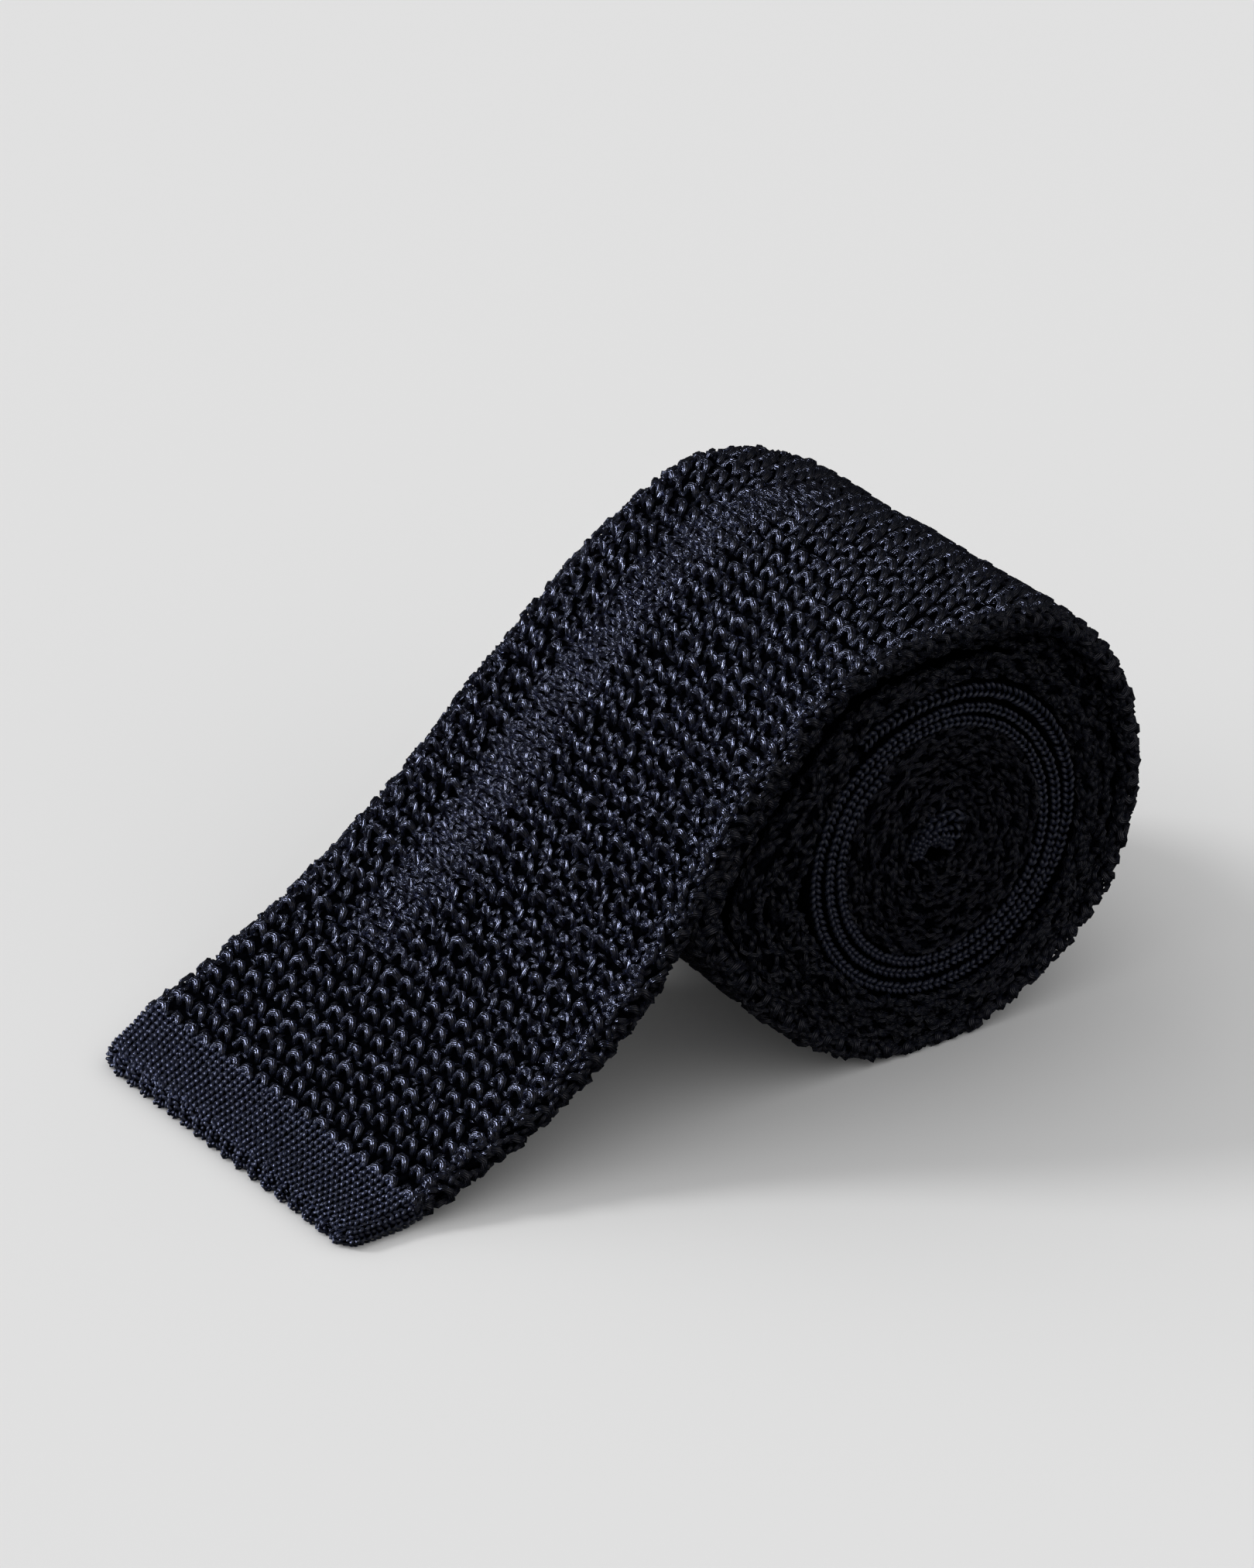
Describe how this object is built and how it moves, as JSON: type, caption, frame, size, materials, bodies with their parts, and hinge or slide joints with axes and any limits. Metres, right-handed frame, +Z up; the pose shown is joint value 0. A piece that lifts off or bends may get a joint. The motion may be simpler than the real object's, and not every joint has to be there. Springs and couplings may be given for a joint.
{
  "type": "rolled knit tie",
  "caption": "Flat-ended necktie of open bumpy knit with fine plain hems and neck, rolled up with its wide end trailing down to the table.",
  "frame": {"origin": "middle of the tie's footprint, on the table it rests on", "axes": "+X from the free hem to the roll, Y along the tie's width, +Z up"},
  "size_m": [0.1322, 0.065, 0.0617],
  "materials": {
    "knit_open": "open bumpy knit of twisted silk yarn, near-black navy",
    "knit_plain": "fine plain knit of twisted silk yarn, near-black navy"
  },
  "bodies": {
    "root": {"front_hem": "knit_plain", "front_blade": "knit_open", "neck_band": "knit_plain", "tail_blade": "knit_open", "tail_hem": "knit_plain"}
  },
  "joints": []
}
